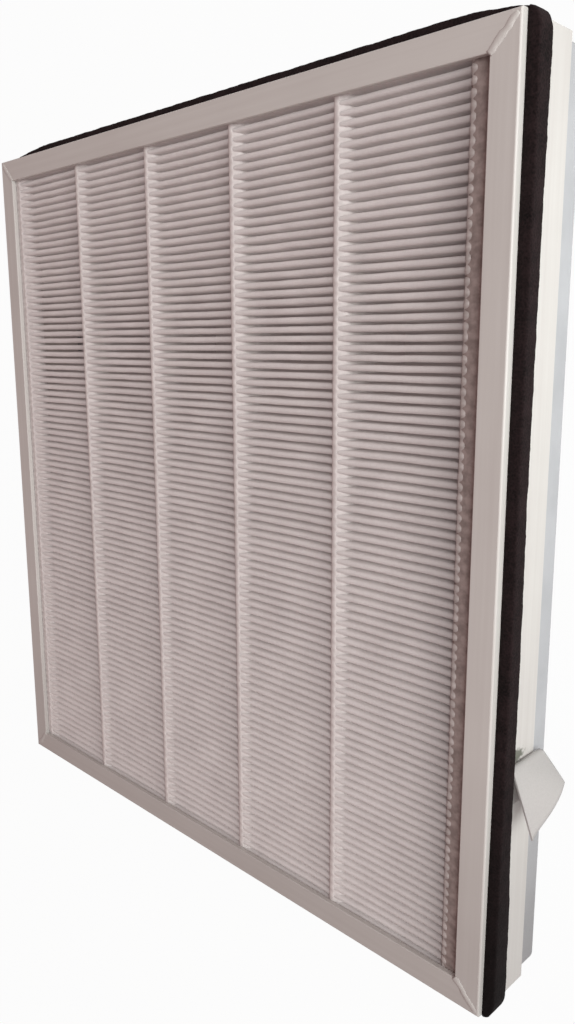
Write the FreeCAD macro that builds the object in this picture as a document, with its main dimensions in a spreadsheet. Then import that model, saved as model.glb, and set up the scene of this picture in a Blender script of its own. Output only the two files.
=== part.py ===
import FreeCAD, Part
import math
import os

import Sketcher
from FreeCAD import Placement, Rotation, Vector

# Air purifier HEPA filter, lying on its rear face with the pleats facing up.
# X runs across the filter, Y up its front, Z from the rear face to the front face.
# The origin is the centre of the rear face. All sizes are in millimetres.

doc = FreeCAD.newDocument("hepa_filter")

# How near an edge or face has to lie to the place where it is looked for
NEAR = 1e-5

# Driving dimensions

DRIVING = [
    ("frame_width", 372.0, "outside width of the white frame"),
    ("frame_height", 400.0, "outside height of the white frame"),
    ("frame_depth", 50.0, "rear face to front face"),
    ("frame_wall", 1.2, "thickness of the white frame"),
    ("flange_width", 12.5, "front flange, seen from the front"),
    ("lip_depth", 2.5, "front face to the end of the turned-in lip"),
    ("fold_radius", 0.9, "outer fold between flange and side wall"),
    ("lip_radius", 0.5, "outer fold between flange and lip"),
    ("seam_height", 14.0, "rear face to the end of the white side wall"),
    ("tray_gap", 0.1, "clearance between white wall and grey tray"),
    ("tray_wall", 1.6, "thickness of the grey tray"),
    ("tray_flange", 12.5, "rear flange, seen from behind"),
    ("tray_edge_radius", 3.0, "round edge between tray wall and rear face"),
    ("tray_corner_extra", 0.5, "how much rounder the tray's upright corners are"),
    ("pleat_pitch", 4.2, "one pleat to the next"),
    ("media_thickness", 0.7, "filter sheet"),
    ("pack_front_gap", 0.4, "front pleat tips to the lip"),
    ("pack_rear_gap", 1.0, "rear pleat tips to the rear flange, clear of its rounded corners"),
    ("sealant_width", 1.5, "least glue between tray wall and pleats"),
    ("bead_count", 6, "lines of hot melt across the pleats"),
    ("bead_width", 2.5, "one line of hot melt"),
    ("bead_inset", 13.3, "end of the pleats to the outermost line"),
    ("band_depth", 9.0, "the wide glue bands at the ends of the pleats, front tips downwards"),
    ("weld_width", 2.2, "ridge on a mitre"),
    ("weld_rise", 0.6, "ridge above the flange"),
    ("weld_end_gap", 3.2, "ridge to the outer corner"),
    ("seal_setback", 4.6, "front face to the foam strip"),
    ("seal_width", 7.0, "foam strip along the depth"),
    ("seal_thickness", 5.5, "foam strip above the wall"),
    ("seal_corner_radius", 10.0, "foam strip round a corner"),
    ("seal_joint", 0.5, "butt joint of the foam strip"),
    ("tab_width", 26.0, "ribbon, edge to edge"),
    ("tab_thickness", 0.8, "ribbon"),
    ("tab_setback", 0.4, "foam strip to the ribbon"),
    ("tab_rise", 110.0, "frame bottom to the ribbon's fold"),
    ("tab_glued", 17.0, "length stuck to the wall"),
    ("tab_bend", 1.8, "inner radius of the fold"),
    ("tab_bend_steps", 6, "short flats that make up the fold"),
    ("tab_front_leg", 27.5, "free leg at the edge near the foam strip"),
    ("tab_rear_leg", 14.5, "free leg at the other edge"),
    ("tab_front_angle", 21.0, "degrees that the first leg stands off the wall"),
    ("tab_rear_angle", 44.0, "degrees that the other leg stands off the wall"),
]

# Places that follow from them

DERIVED = [
    ("tray_outside", "frame_wall + tray_gap", "white frame's outside to the tray"),
    ("tray_inside", "tray_outside + tray_wall", "white frame's outside to the tray's inner wall"),
    ("tray_top", "frame_depth - frame_wall", "tray's rim, under the front flange"),
    ("tray_corner_radius", "tray_edge_radius + tray_corner_extra", "upright corners of the tray"),
    ("inner_corner_radius", "tray_corner_radius - tray_wall", "the same on the inside"),
    ("pleat_rear", "tray_wall + pack_rear_gap", "rear pleat tips"),
    ("pleat_front", "frame_depth - lip_depth - pack_front_gap", "front pleat tips"),
    ("pack_room", "frame_height - 2 * tray_inside - 2 * sealant_width", "length left for pleats"),
    ("pleat_count", "floor(pack_room / pleat_pitch)", "whole pleats that fit"),
    ("pack_length", "pleat_count * pleat_pitch", "all pleats together"),
    ("pack_width", "frame_width - 2 * tray_inside - 2 * sealant_width", "length of one pleat"),
    ("bead_pitch", "(pack_width - 2 * bead_inset) / (bead_count - 1)", "one line to the next"),
    ("seal_rear", "frame_depth - seal_setback - seal_width", "rear edge of the foam strip"),
    ("tab_front", "seal_rear - tab_setback", "ribbon's edge near the foam strip"),
    ("tab_back", "tab_front - tab_width", "ribbon's other edge"),
]

sheet = doc.addObject("Spreadsheet::Sheet", "Sizes")
for row, (alias, value, meaning) in enumerate(DRIVING + DERIVED, start=1):
    content = f"={value}" if isinstance(value, str) else str(value)
    sheet.set(f"A{row}", alias)
    sheet.set(f"B{row}", content)
    sheet.set(f"C{row}", meaning)
    sheet.setAlias(f"B{row}", alias)
doc.recompute()


def number(formula):
    """A formula on the sheet's sizes, as a plain number."""
    return float(sheet.evalExpression(str(formula)))


def size(alias):
    return number(f"Sizes.{alias}")


# Helpers for bodies, sketches and features

def new_body(label, turn=0.0, across="0", up="0", height="0"):
    """A body turned about Z, with its place bound to the sheet."""
    body = doc.addObject("PartDesign::Body", label)
    body.Label = label
    body.Placement = Placement(Vector(), Rotation(Vector(0, 0, 1), turn))
    body.setExpression("Placement.Base.x", across)
    body.setExpression("Placement.Base.y", up)
    body.setExpression("Placement.Base.z", height)
    return body


def new_sketch(body, name, role, offset="0"):
    """A sketch on one of the body's own origin planes, moved along its normal."""
    sketch = body.newObject("Sketcher::SketchObject", name)
    plane = next(item for item in body.Origin.OriginFeatures if item.Role == role)
    sketch.AttachmentSupport = (plane, "")
    sketch.MapMode = "FlatFace"
    sketch.setExpression("AttachmentOffset.Base.z", offset)
    return sketch


def draw_outline(sketch, corners):
    """A closed outline whose corners are formulas, each bound to the sheet."""
    places = [Vector(number(x), number(y), 0) for x, y in corners]
    first = sketch.GeometryCount
    count = len(places)
    for index, place in enumerate(places):
        sketch.addGeometry(Part.LineSegment(place, places[(index + 1) % count]), False)
    for index in range(count):
        following = first + (index + 1) % count
        sketch.addConstraint(Sketcher.Constraint("Coincident", first + index, 2, following, 1))
    for index, (x, y) in enumerate(corners):
        for direction, formula, place in (("DistanceX", x, places[index].x), ("DistanceY", y, places[index].y)):
            constraint = Sketcher.Constraint(direction, -1, 1, first + index, 1, place)
            added = sketch.addConstraint(constraint)
            sketch.setExpression(f"Constraints[{added}]", formula)


def draw_rectangle(sketch, width, height):
    """A rectangle about the sketch's origin."""
    half_width = f"({width}) / 2"
    half_height = f"({height}) / 2"
    draw_outline(sketch, [
        (f"-{half_width}", f"-{half_height}"),
        (half_width, f"-{half_height}"),
        (half_width, half_height),
        (f"-{half_width}", half_height),
    ])


def add_pad(body, sketch, length, both_ways=False):
    pad = body.newObject("PartDesign::Pad", f"{sketch.Name}Pad")
    pad.Profile = sketch
    pad.SideType = "Symmetric" if both_ways else "One side"
    pad.setExpression("Length", length)
    doc.recompute()
    return pad


def add_through_cut(body, sketch):
    """A cut right through the body, both ways from the sketch."""
    before = body.Tip.Shape.Volume
    pocket = body.newObject("PartDesign::Pocket", f"{sketch.Name}Pocket")
    pocket.Profile = sketch
    pocket.Type = "ThroughAll"
    pocket.SideType = "Symmetric"
    doc.recompute()
    if pocket.Shape.Volume >= before:
        raise RuntimeError(f"{body.Label}: {pocket.Name} removes nothing")
    return pocket


def edges_at(shape, **places):
    """Names of the edges whose two ends lie at the given x, y or z."""
    names = []
    for index, edge in enumerate(shape.Edges, start=1):
        ends = [vertex.Point for vertex in edge.Vertexes]
        if all(abs(getattr(end, axis) - place) < NEAR for end in ends for axis, place in places.items()):
            names.append(f"Edge{index}")
    return names


def upright_edges(shape, half_width, half_height):
    """Names of the four upright edges at the corners of a rectangle."""
    names = []
    for index, edge in enumerate(shape.Edges, start=1):
        ends = [vertex.Point for vertex in edge.Vertexes]
        on_corner = all(
            abs(abs(end.x) - half_width) < NEAR and abs(abs(end.y) - half_height) < NEAR for end in ends
        )
        if on_corner and abs(ends[0].z - ends[-1].z) > NEAR:
            names.append(f"Edge{index}")
    return names


def faces_at(shape, height):
    """Names of the flat faces that lie wholly at a height."""
    names = []
    for index, face in enumerate(shape.Faces, start=1):
        box = face.BoundBox
        if abs(box.ZMin - height) < NEAR and abs(box.ZMax - height) < NEAR:
            names.append(f"Face{index}")
    return names


def add_fillet(body, names, radius):
    base = body.Tip
    fillet = body.newObject("PartDesign::Fillet", f"{body.Name}Fillet")
    fillet.Base = (base, names)
    fillet.setExpression("Radius", radius)
    doc.recompute()
    return fillet


# Front frame: four members with flange, lip and side wall, mitred at both ends

def make_frame_member(label, length, turn, across, up):
    """One member. Its own X runs inwards from the outside face and its Y along the member."""
    body = new_body(label, turn, across, up)
    profile = new_sketch(body, f"{label}_profile", "XZ_Plane")
    draw_outline(profile, [
        ("0", "Sizes.seam_height"),
        ("0", "Sizes.frame_depth"),
        ("Sizes.flange_width", "Sizes.frame_depth"),
        ("Sizes.flange_width", "Sizes.frame_depth - Sizes.lip_depth"),
        ("Sizes.flange_width - Sizes.frame_wall", "Sizes.frame_depth - Sizes.lip_depth"),
        ("Sizes.flange_width - Sizes.frame_wall", "Sizes.tray_top"),
        ("Sizes.frame_wall", "Sizes.tray_top"),
        ("Sizes.frame_wall", "Sizes.seam_height"),
    ])
    add_pad(body, profile, length, both_ways=True)
    add_fillet(body, edges_at(body.Tip.Shape, x=0, z=size("frame_depth")), "Sizes.fold_radius")
    lip_edge = edges_at(body.Tip.Shape, x=size("flange_width"), z=size("frame_depth"))
    add_fillet(body, lip_edge, "Sizes.lip_radius")

    reach = "(Sizes.flange_width + Sizes.frame_wall)"
    mitres = new_sketch(body, f"{label}_mitres", "XY_Plane")
    for side in ("", "-"):
        end = f"{side}({length}) / 2"
        inner_end = f"{side}(({length}) / 2 - {reach})"
        draw_outline(mitres, [("0", end), (reach, end), (reach, inner_end)])
    add_through_cut(body, mitres)
    return body


def make_front_frame():
    half_width = "Sizes.frame_width / 2"
    half_height = "Sizes.frame_height / 2"
    return [
        make_frame_member("front_frame_left", "Sizes.frame_height", 0, f"-{half_width}", "0"),
        make_frame_member("front_frame_right", "Sizes.frame_height", 180, half_width, "0"),
        make_frame_member("front_frame_bottom", "Sizes.frame_width", 90, "0", f"-{half_height}"),
        make_frame_member("front_frame_top", "Sizes.frame_width", -90, "0", half_height),
    ]


# Corner welds: a low rounded ridge along each mitre of the front face

def make_corner_weld(label, right, top):
    """A ridge from the inner corner outwards, with a circular segment as its section."""
    turn = math.degrees(math.atan2(top, right))
    across = f"{right} * (Sizes.frame_width / 2 - Sizes.flange_width + Sizes.lip_radius)"
    up = f"{top} * (Sizes.frame_height / 2 - Sizes.flange_width + Sizes.lip_radius)"
    body = new_body(label, turn, across, up, "Sizes.frame_depth")
    section = new_sketch(body, f"{label}_section", "YZ_Plane")
    half = size("weld_width") / 2
    rise = size("weld_rise")
    ends = (Vector(half, 0, 0), Vector(-half, 0, 0))
    section.addGeometry(Part.Arc(ends[0], Vector(0, rise, 0), ends[1]), False)
    section.addGeometry(Part.LineSegment(ends[1], ends[0]), False)
    section.addConstraint(Sketcher.Constraint("Coincident", 0, 2, 1, 1))
    section.addConstraint(Sketcher.Constraint("Coincident", 1, 2, 0, 1))
    section.addConstraint(Sketcher.Constraint("Symmetric", 1, 1, 1, 2, -1, 1))
    section.addConstraint(Sketcher.Constraint("Horizontal", 1))
    width = section.addConstraint(Sketcher.Constraint("DistanceX", 1, 1, 1, 2, 2 * half))
    section.setExpression(f"Constraints[{width}]", "Sizes.weld_width")
    radius_formula = "Sizes.weld_width * Sizes.weld_width / (8 * Sizes.weld_rise) + Sizes.weld_rise / 2"
    radius = section.addConstraint(Sketcher.Constraint("Radius", 0, number(radius_formula)))
    section.setExpression(f"Constraints[{radius}]", radius_formula)
    length = "(Sizes.flange_width - Sizes.lip_radius) * sqrt(2) - Sizes.weld_end_gap"
    add_pad(body, section, length)
    return body


def make_corner_welds():
    sides = {"left": -1, "right": 1}
    ends = {"bottom": -1, "top": 1}
    return [
        make_corner_weld(f"corner_weld_{end}_{side}", sides[side], ends[end])
        for end in ends for side in sides
    ]


# Rear frame: one moulded tray that slides into the white frame

def make_rear_frame():
    body = new_body("rear_frame")
    outline = new_sketch(body, "tray_outline", "XY_Plane")
    outside = ("Sizes.frame_width - 2 * Sizes.tray_outside", "Sizes.frame_height - 2 * Sizes.tray_outside")
    draw_rectangle(outline, *outside)
    add_pad(body, outline, "Sizes.tray_top")
    corners = upright_edges(body.Tip.Shape, number(outside[0]) / 2, number(outside[1]) / 2)
    add_fillet(body, corners, "Sizes.tray_corner_radius")
    add_fillet(body, edges_at(body.Tip.Shape, z=0), "Sizes.tray_edge_radius")

    block = body.Tip
    shell = body.newObject("PartDesign::Thickness", "tray_shell")
    shell.Base = (block, faces_at(block.Shape, size("tray_top")))
    shell.Reversed = True
    shell.setExpression("Value", "Sizes.tray_wall")
    doc.recompute()

    window = new_sketch(body, "tray_window", "XY_Plane")
    margin = "2 * (Sizes.tray_outside + Sizes.tray_flange)"
    draw_rectangle(window, f"Sizes.frame_width - {margin}", f"Sizes.frame_height - {margin}")
    add_through_cut(body, window)
    return body


# Foam seal: one strip wrapped round the white walls, its ends butted at the bottom

def make_foam_seal():
    body = new_body("foam_seal")
    outside = ("Sizes.frame_width + 2 * Sizes.seal_thickness", "Sizes.frame_height + 2 * Sizes.seal_thickness")
    outline = new_sketch(body, "seal_outline", "XY_Plane", "Sizes.seal_rear")
    draw_rectangle(outline, *outside)
    add_pad(body, outline, "Sizes.seal_width")
    corners = upright_edges(body.Tip.Shape, number(outside[0]) / 2, number(outside[1]) / 2)
    add_fillet(body, corners, "Sizes.seal_corner_radius")
    inside = new_sketch(body, "seal_inside", "XY_Plane")
    draw_rectangle(inside, "Sizes.frame_width", "Sizes.frame_height")
    add_through_cut(body, inside)
    joint = new_sketch(body, "seal_butt_joint", "XY_Plane")
    half_gap = "Sizes.seal_joint / 2"
    wall = "-(Sizes.frame_height / 2)"
    below = "-(Sizes.frame_height / 2 + Sizes.seal_thickness)"
    draw_outline(joint, [(f"-{half_gap}", below), (half_gap, below), (half_gap, wall), (f"-{half_gap}", wall)])
    add_through_cut(body, joint)
    return body


# Pleated media: one sheet folded to and fro, extruded along its folds

def extruded_sections(sections, width, centre):
    """Closed sections in the YZ plane, extruded along X about the given centre."""
    solids = []
    start = Vector(centre - width / 2, 0, 0)
    for section in sections:
        points = [start + Vector(0, y, z) for y, z in section]
        face = Part.Face(Part.makePolygon(points + points[:1]))
        solids.append(face.extrude(Vector(width, 0, 0)))
    return solids


def new_feature(label, shape):
    feature = doc.addObject("Part::Feature", label)
    feature.Label = label
    feature.Shape = shape
    feature.Placement = Placement()
    return feature


def pleat_valleys():
    """Middle of every front valley between two pleats, and of every rear one under a pleat."""
    pitch = size("pleat_pitch")
    count = round(size("pleat_count"))
    start = -size("pack_length") / 2
    front = [start + pitch * index for index in range(1, count)]
    rear = [start + pitch * (index + 0.5) for index in range(count)]
    return front, rear


def make_pleated_media():
    """Each fold has a flat tip two sheets wide outside and a sharp crease inside."""
    sheet_thickness = size("media_thickness")
    front_tip, rear_tip = size("pleat_front"), size("pleat_rear")
    front_valleys, pleat_middles = pleat_valleys()
    end = size("pack_length") / 2

    front_side = [(-end, rear_tip), (-end, rear_tip + sheet_thickness)]
    for index, middle in enumerate(pleat_middles):
        if index > 0:
            front_side.append((front_valleys[index - 1], rear_tip + sheet_thickness))
        front_side.append((middle - sheet_thickness, front_tip))
        front_side.append((middle + sheet_thickness, front_tip))
    front_side += [(end, rear_tip + sheet_thickness), (end, rear_tip)]

    rear_side = [(-end + sheet_thickness, rear_tip)]
    for index, middle in enumerate(pleat_middles):
        if index > 0:
            rear_side.append((front_valleys[index - 1] - sheet_thickness, rear_tip))
            rear_side.append((front_valleys[index - 1] + sheet_thickness, rear_tip))
        rear_side.append((middle, front_tip - sheet_thickness))
    rear_side.append((end - sheet_thickness, rear_tip))

    section = front_side + rear_side[::-1]
    return new_feature("pleated_media", extruded_sections([section], size("pack_width"), 0)[0])


# Hot-melt beads: in each valley a wedge that keeps two pleats apart, and a wide band at each side

def half_mouth():
    """Half the gap between two neighbouring fold tips."""
    return size("pleat_pitch") / 2 - size("media_thickness")


def make_bead(label, centre, valleys, mouth, bottom):
    """One line across the pleats: a wedge for each valley, wide at its mouth."""
    half = half_mouth()
    wedges = [[(y - half, mouth), (y + half, mouth), (y, bottom)] for y in valleys]
    return new_feature(label, Part.makeCompound(extruded_sections(wedges, size("bead_width"), centre)))


def make_edge_band(label, centre, valleys, mouth, bottom):
    """An outermost front line, which runs on to the ends of the pleats and closes them."""
    depth = size("band_depth")
    top_half = half_mouth()
    low_half = top_half * (1 - depth / (mouth - bottom))
    floor = mouth - depth
    sections = [
        [(y - top_half, mouth), (y + top_half, mouth), (y + low_half, floor), (y - low_half, floor)]
        for y in valleys
    ]
    inner_side = abs(centre) - size("bead_width") / 2
    outer_side = size("pack_width") / 2
    middle = math.copysign((inner_side + outer_side) / 2, centre)
    return new_feature(label, Part.makeCompound(extruded_sections(sections, outer_side - inner_side, middle)))


def make_beads():
    front_tip, rear_tip = size("pleat_front"), size("pleat_rear")
    sheet_thickness = size("media_thickness")
    front_valleys, rear_valleys = pleat_valleys()
    count = round(size("bead_count"))
    beads = []
    for line in range(1, count + 1):
        centre = (line - (count + 1) / 2) * size("bead_pitch")
        make_front = make_edge_band if line in (1, count) else make_bead
        beads.append(make_front(
            f"front_bead_{line}", centre, front_valleys, front_tip, rear_tip + sheet_thickness
        ))
        beads.append(make_bead(
            f"rear_bead_{line}", centre, rear_valleys, rear_tip, front_tip - sheet_thickness
        ))
    return beads


# Edge sealant: glue between the tray's walls and the four edges of the pleat pack

def make_end_sealant(label, turn):
    """The glue beyond the last pleat, which leans away from the wall towards its tip."""
    body = new_body(label, turn)
    section = new_sketch(body, f"{label}_section", "YZ_Plane")
    wall = "Sizes.frame_height / 2 - Sizes.tray_inside"
    end = "Sizes.pack_length / 2"
    lean = "(Sizes.pleat_pitch / 2 - Sizes.media_thickness)"
    crease = "(Sizes.pleat_rear + Sizes.media_thickness)"
    climbed = f"(Sizes.tray_edge_radius - {crease}) / (Sizes.pleat_front - {crease})"
    draw_outline(section, [
        (f"{end} - {lean} * {climbed}", "Sizes.tray_edge_radius"),
        (wall, "Sizes.tray_edge_radius"),
        (wall, "Sizes.pleat_front"),
        (f"{end} - {lean}", "Sizes.pleat_front"),
    ])
    add_pad(body, section, "Sizes.frame_width - 2 * (Sizes.tray_inside + Sizes.inner_corner_radius)", True)
    return body


def make_side_sealant(label, left_edge):
    """The glue along the cut ends of the pleats."""
    box = doc.addObject("Part::Box", label)
    box.Label = label
    box.setExpression("Length", "Sizes.sealant_width")
    box.setExpression("Width", "Sizes.frame_height - 2 * (Sizes.tray_inside + Sizes.inner_corner_radius)")
    box.setExpression("Height", "Sizes.pleat_front - Sizes.tray_edge_radius")
    box.setExpression("Placement.Base.x", left_edge)
    box.setExpression(
        "Placement.Base.y", "-(Sizes.frame_height / 2 - Sizes.tray_inside - Sizes.inner_corner_radius)"
    )
    box.setExpression("Placement.Base.z", "Sizes.tray_edge_radius")
    return box


def make_sealant():
    return [
        make_end_sealant("edge_sealant_top", 0),
        make_end_sealant("edge_sealant_bottom", 180),
        make_side_sealant("edge_sealant_left", "-(Sizes.pack_width / 2 + Sizes.sealant_width)"),
        make_side_sealant("edge_sealant_right", "Sizes.pack_width / 2"),
    ]


# Pull tab: a ribbon stuck to the right wall, folded over and left standing off

def ribbon_edge(angle, leg, height):
    """One edge of the ribbon from its stuck end over the fold to its free end: wall side, then open side."""
    inner = size("tab_bend")
    outer = inner + size("tab_thickness")
    steps = round(size("tab_bend_steps"))
    middle = Vector(size("frame_width") / 2 + outer, size("tab_rise") - size("frame_height") / 2, height)
    lean = math.radians(angle)
    stuck_leg = Vector(0, -size("tab_glued"), 0)
    free_leg = Vector(math.sin(lean), -math.cos(lean), 0) * leg
    sides = []
    for radius in (outer, inner):
        turns = [math.pi - (math.pi - lean) * step / steps for step in range(steps + 1)]
        bend = [middle + Vector(math.cos(turn), math.sin(turn), 0) * radius for turn in turns]
        sides.append([bend[0] + stuck_leg, *bend, bend[-1] + free_leg])
    return sides


def flat_face(*corners):
    return Part.Face(Part.makePolygon([*corners, corners[0]]))


def make_pull_tab():
    """The two edges of the ribbon lean differently, so pairs of flat triangles join them."""
    front_outer, front_inner = ribbon_edge(
        size("tab_front_angle"), size("tab_front_leg"), size("tab_front")
    )
    rear_outer, rear_inner = ribbon_edge(size("tab_rear_angle"), size("tab_rear_leg"), size("tab_back"))
    faces = [
        flat_face(*front_outer, *reversed(front_inner)),
        flat_face(*rear_outer, *reversed(rear_inner)),
    ]
    for front, rear in ((front_outer, rear_outer), (front_inner, rear_inner)):
        for index in range(len(front) - 1):
            faces.append(flat_face(front[index], rear[index], front[index + 1]))
            faces.append(flat_face(rear[index], rear[index + 1], front[index + 1]))
    for end in (0, -1):
        faces.append(flat_face(front_outer[end], rear_outer[end], front_inner[end]))
        faces.append(flat_face(rear_outer[end], rear_inner[end], front_inner[end]))
    return new_feature("pull_tab", Part.Solid(Part.Shell(faces)))


# The whole filter, checked and written out

def check_document():
    for item in doc.Objects:
        for state in ("Invalid", "Error"):
            if state in item.State:
                raise RuntimeError(f"{item.Label} is {state}")


def write_parts(pieces):
    os.makedirs("parts", exist_ok=True)
    for piece in pieces:
        shape = piece.Shape
        if shape.isNull() or not shape.isValid() or shape.Volume <= 0:
            raise RuntimeError(f"{piece.Label} has no sound solid")
        shape.exportStep(f"parts/{piece.Label}.step")
        box = shape.BoundBox
        print(
            f"{piece.Label}: {len(shape.Solids)} solid(s), {shape.Volume:.0f} mm3,"
            f" {box.XLength:.1f} x {box.YLength:.1f} x {box.ZLength:.1f} mm"
        )


pieces = [make_pleated_media(), *make_beads(), *make_sealant(), make_rear_frame()]
pieces += [*make_front_frame(), *make_corner_welds(), make_foam_seal(), make_pull_tab()]
doc.recompute()
check_document()
write_parts(pieces)
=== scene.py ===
# %% [markdown]
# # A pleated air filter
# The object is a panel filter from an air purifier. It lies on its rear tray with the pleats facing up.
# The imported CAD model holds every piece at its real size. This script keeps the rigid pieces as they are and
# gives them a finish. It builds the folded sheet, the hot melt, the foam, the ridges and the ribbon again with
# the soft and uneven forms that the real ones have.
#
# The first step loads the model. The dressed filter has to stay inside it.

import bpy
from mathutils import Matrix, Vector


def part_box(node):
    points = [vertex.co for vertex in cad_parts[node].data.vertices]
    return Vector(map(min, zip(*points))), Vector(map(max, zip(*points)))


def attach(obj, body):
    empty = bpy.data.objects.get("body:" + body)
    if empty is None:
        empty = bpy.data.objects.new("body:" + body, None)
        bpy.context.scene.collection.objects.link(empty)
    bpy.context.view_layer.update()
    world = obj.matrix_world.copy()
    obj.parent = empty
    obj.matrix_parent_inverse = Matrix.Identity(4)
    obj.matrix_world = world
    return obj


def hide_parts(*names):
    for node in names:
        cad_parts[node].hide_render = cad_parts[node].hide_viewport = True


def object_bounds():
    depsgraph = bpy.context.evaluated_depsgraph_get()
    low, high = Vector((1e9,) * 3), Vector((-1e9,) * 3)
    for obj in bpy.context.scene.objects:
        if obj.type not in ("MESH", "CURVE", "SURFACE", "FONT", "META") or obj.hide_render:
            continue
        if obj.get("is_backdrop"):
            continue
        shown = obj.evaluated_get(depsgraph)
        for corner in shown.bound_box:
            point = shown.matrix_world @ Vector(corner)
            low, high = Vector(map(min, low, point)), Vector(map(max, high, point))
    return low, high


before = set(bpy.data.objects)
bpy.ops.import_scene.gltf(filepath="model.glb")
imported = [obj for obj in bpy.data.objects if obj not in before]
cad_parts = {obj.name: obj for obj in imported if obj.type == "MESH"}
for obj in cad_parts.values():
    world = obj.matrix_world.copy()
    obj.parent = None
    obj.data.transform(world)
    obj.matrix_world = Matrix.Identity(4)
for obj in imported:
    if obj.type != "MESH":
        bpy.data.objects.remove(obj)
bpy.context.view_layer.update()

# %% Modules that the later cells use
import math

import bmesh
import bpy
from mathutils import Matrix, Vector, noise

MM = 0.001

# %% [markdown]
# ## Working with nodes
# Materials and Geometry Nodes are both graphs of nodes. A formula drawn as a graph needs one Math node for
# each sign in it. A small class lets the script write the formula as usual and adds the nodes by itself.

# %% Numbers that live in a node tree
class Field:
    """A socket that can be used like a number. Each operation on it adds one Math node."""

    def __init__(self, tree, socket):
        self.tree = tree
        self.socket = socket

    def math(self, operation, *values):
        node = self.tree.nodes.new("ShaderNodeMath")
        node.operation = operation
        for socket, value in zip(node.inputs, values):
            feed(self.tree, socket, value)
        return Field(self.tree, node.outputs[0])

    def __add__(self, other):
        return self.math("ADD", self, other)

    def __radd__(self, other):
        return self.math("ADD", other, self)

    def __sub__(self, other):
        return self.math("SUBTRACT", self, other)

    def __rsub__(self, other):
        return self.math("SUBTRACT", other, self)

    def __mul__(self, other):
        return self.math("MULTIPLY", self, other)

    def __truediv__(self, other):
        return self.math("DIVIDE", self, other)

    def __mod__(self, other):
        return self.math("FLOORED_MODULO", self, other)

    def __gt__(self, other):
        return self.math("GREATER_THAN", self, other)

    def floor(self):
        return self.math("FLOOR", self)

    def sin(self):
        return self.math("SINE", self)

    def cos(self):
        return self.math("COSINE", self)

    def abs(self):
        return self.math("ABSOLUTE", self)

    def exp(self):
        return self.math("EXPONENT", self)


def feed(tree, socket, value):
    """Puts a number, a colour or another node's output into a socket."""
    if isinstance(value, Field):
        value = value.socket
    if isinstance(value, bpy.types.NodeSocket):
        tree.links.new(value, socket)
    else:
        socket.default_value = value


def add_node(tree, kind, inputs=None, **settings):
    """A new node with its settings and inputs filled in."""
    node = tree.nodes.new(kind)
    for name, value in settings.items():
        setattr(node, name, value)
    for name, value in (inputs or {}).items():
        feed(tree, node.inputs[name], value)
    return node


def vector(tree, x, y, z):
    return add_node(tree, "ShaderNodeCombineXYZ", {"X": x, "Y": y, "Z": z}).outputs[0]


def parts_of(tree, socket):
    """The x, y and z of a vector socket."""
    node = add_node(tree, "ShaderNodeSeparateXYZ", {"Vector": socket})
    return [Field(tree, output) for output in node.outputs]


# %% [markdown]
# ## Materials
# Nothing on the filter is one flat colour. Moulded and extruded plastic has faint streaks along the way that
# it flowed, glue is glossier than the sheet that it holds, and foam is full of open cells. Flat colours would
# look like a drawing, and image textures would stretch over the folds. So each finish below mixes two colours
# with a noise and lets a second noise disturb the surface. The patterns read object coordinates in metres, so
# a scale of 500 gives grains of about two millimetres.

# %% Helpers for materials
def seen(red, green, blue):
    """A colour as it looks on a screen, from 0 to 255, turned into Blender's linear values."""
    channels = []
    for value in (red, green, blue):
        share = value / 255
        channels.append(share / 12.92 if share <= 0.04045 else ((share + 0.055) / 1.055) ** 2.4)
    return (*channels, 1.0)


def new_material(name):
    """A material with its node tree and its Principled shader."""
    material = bpy.data.materials.new(name)
    material.use_nodes = True
    tree = material.node_tree
    return material, tree, tree.nodes["Principled BSDF"]


def object_place(tree, stretch=(1.0, 1.0, 1.0)):
    """Object coordinates, made finer along some axes."""
    place = add_node(tree, "ShaderNodeTexCoord").outputs["Object"]
    return add_node(tree, "ShaderNodeMapping", {"Vector": place, "Scale": stretch}).outputs[0]


def grain(tree, place, scale, detail=3.0, roughness=0.55):
    """Noise from about 0 to 1 at a place."""
    inputs = {"Vector": place, "Scale": scale, "Detail": detail, "Roughness": roughness}
    return Field(tree, add_node(tree, "ShaderNodeTexNoise", inputs).outputs[0])


def blend_colours(tree, share, first, second):
    """Two colours mixed by a share from 0 to 1."""
    node = add_node(tree, "ShaderNodeMix", data_type="RGBA")
    feed(tree, node.inputs[0], share)
    feed(tree, node.inputs[6], first)
    feed(tree, node.inputs[7], second)
    return node.outputs[2]


def widen(value, low, high):
    """Stretches the part of a noise between low and high over 0 to 1."""
    node = add_node(value.tree, "ShaderNodeMapRange", {"Value": value, "From Min": low, "From Max": high})
    return Field(value.tree, node.outputs[0])


def rough_up(tree, shader, height, depth, strength=1.0):
    """Lets a height in shares of depth disturb the surface."""
    inputs = {"Height": height, "Distance": depth, "Strength": strength}
    feed(tree, shader.inputs["Normal"], add_node(tree, "ShaderNodeBump", inputs).outputs[0])


# %% [markdown]
# The white members were extruded, so their streaks run along them. The same finish is made twice, once for
# the members that run up the filter and once for those that run across it.
#
# The foot end of the filter is darker, which is painted shade: a second colour mixed in by the height up the
# filter. The right wall has a dark speckled spot just above the fold of the tab. It is drawn as a soft spot
# round a place, and a noise breaks up the rim of the spot.

# %% White plastic of the front frame
WHITE_LIGHT = seen(202, 200, 196)
WHITE_DARK = seen(195, 192, 188)
# Colour of the dark speckled spot on the right wall above the tab
SPOT_COLOUR = seen(108, 110, 100)
# Painted shade over the foot end of the filter: its colour, and the heights where it starts and is full
FOOT_SHADE_COLOUR = seen(96, 90, 88)
FOOT_SHADE_START = -0.08
FOOT_SHADE_FULL = -0.21


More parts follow.
